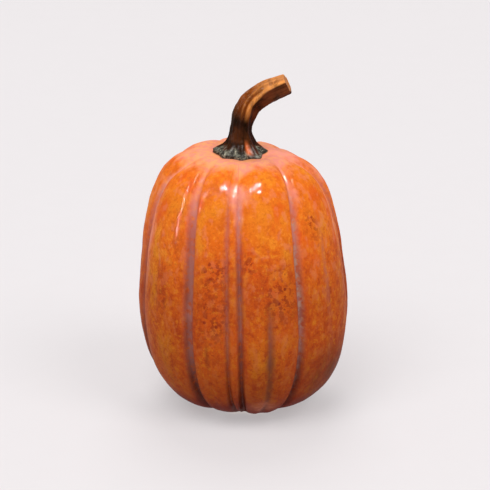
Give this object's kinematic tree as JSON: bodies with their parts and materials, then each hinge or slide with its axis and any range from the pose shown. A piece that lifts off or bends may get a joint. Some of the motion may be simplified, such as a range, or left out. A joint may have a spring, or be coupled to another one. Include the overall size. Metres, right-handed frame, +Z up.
{
  "type": "ceramic pumpkin figure",
  "caption": "Tall ribbed pumpkin ornament: hollow glazed ceramic body with a curved ridged stem glued into its top, standing on felt pads.",
  "frame": {"origin": "on the table, under the middle of the body", "axes": "+Z up through the body, -Y towards the front, +X the side that the stem bends to"},
  "size_m": [0.1493, 0.1487, 0.2425],
  "materials": {
    "orange_glaze": "glossy hand-painted glaze, orange lobes with pink-cream shoulders and dark purple-brown creases",
    "stem_glaze": "glossy brown glaze with darker creases and grey-green mottling on the foot",
    "adhesive": "cured clear-amber adhesive",
    "felt": "dense dark brown felt"
  },
  "bodies": {
    "root": {"body_shell": "orange_glaze", "stem": "stem_glaze", "stem_adhesive": "adhesive", "felt_pad_1": "felt", "felt_pad_2": "felt", "felt_pad_3": "felt", "felt_pad_4": "felt"}
  },
  "joints": []
}
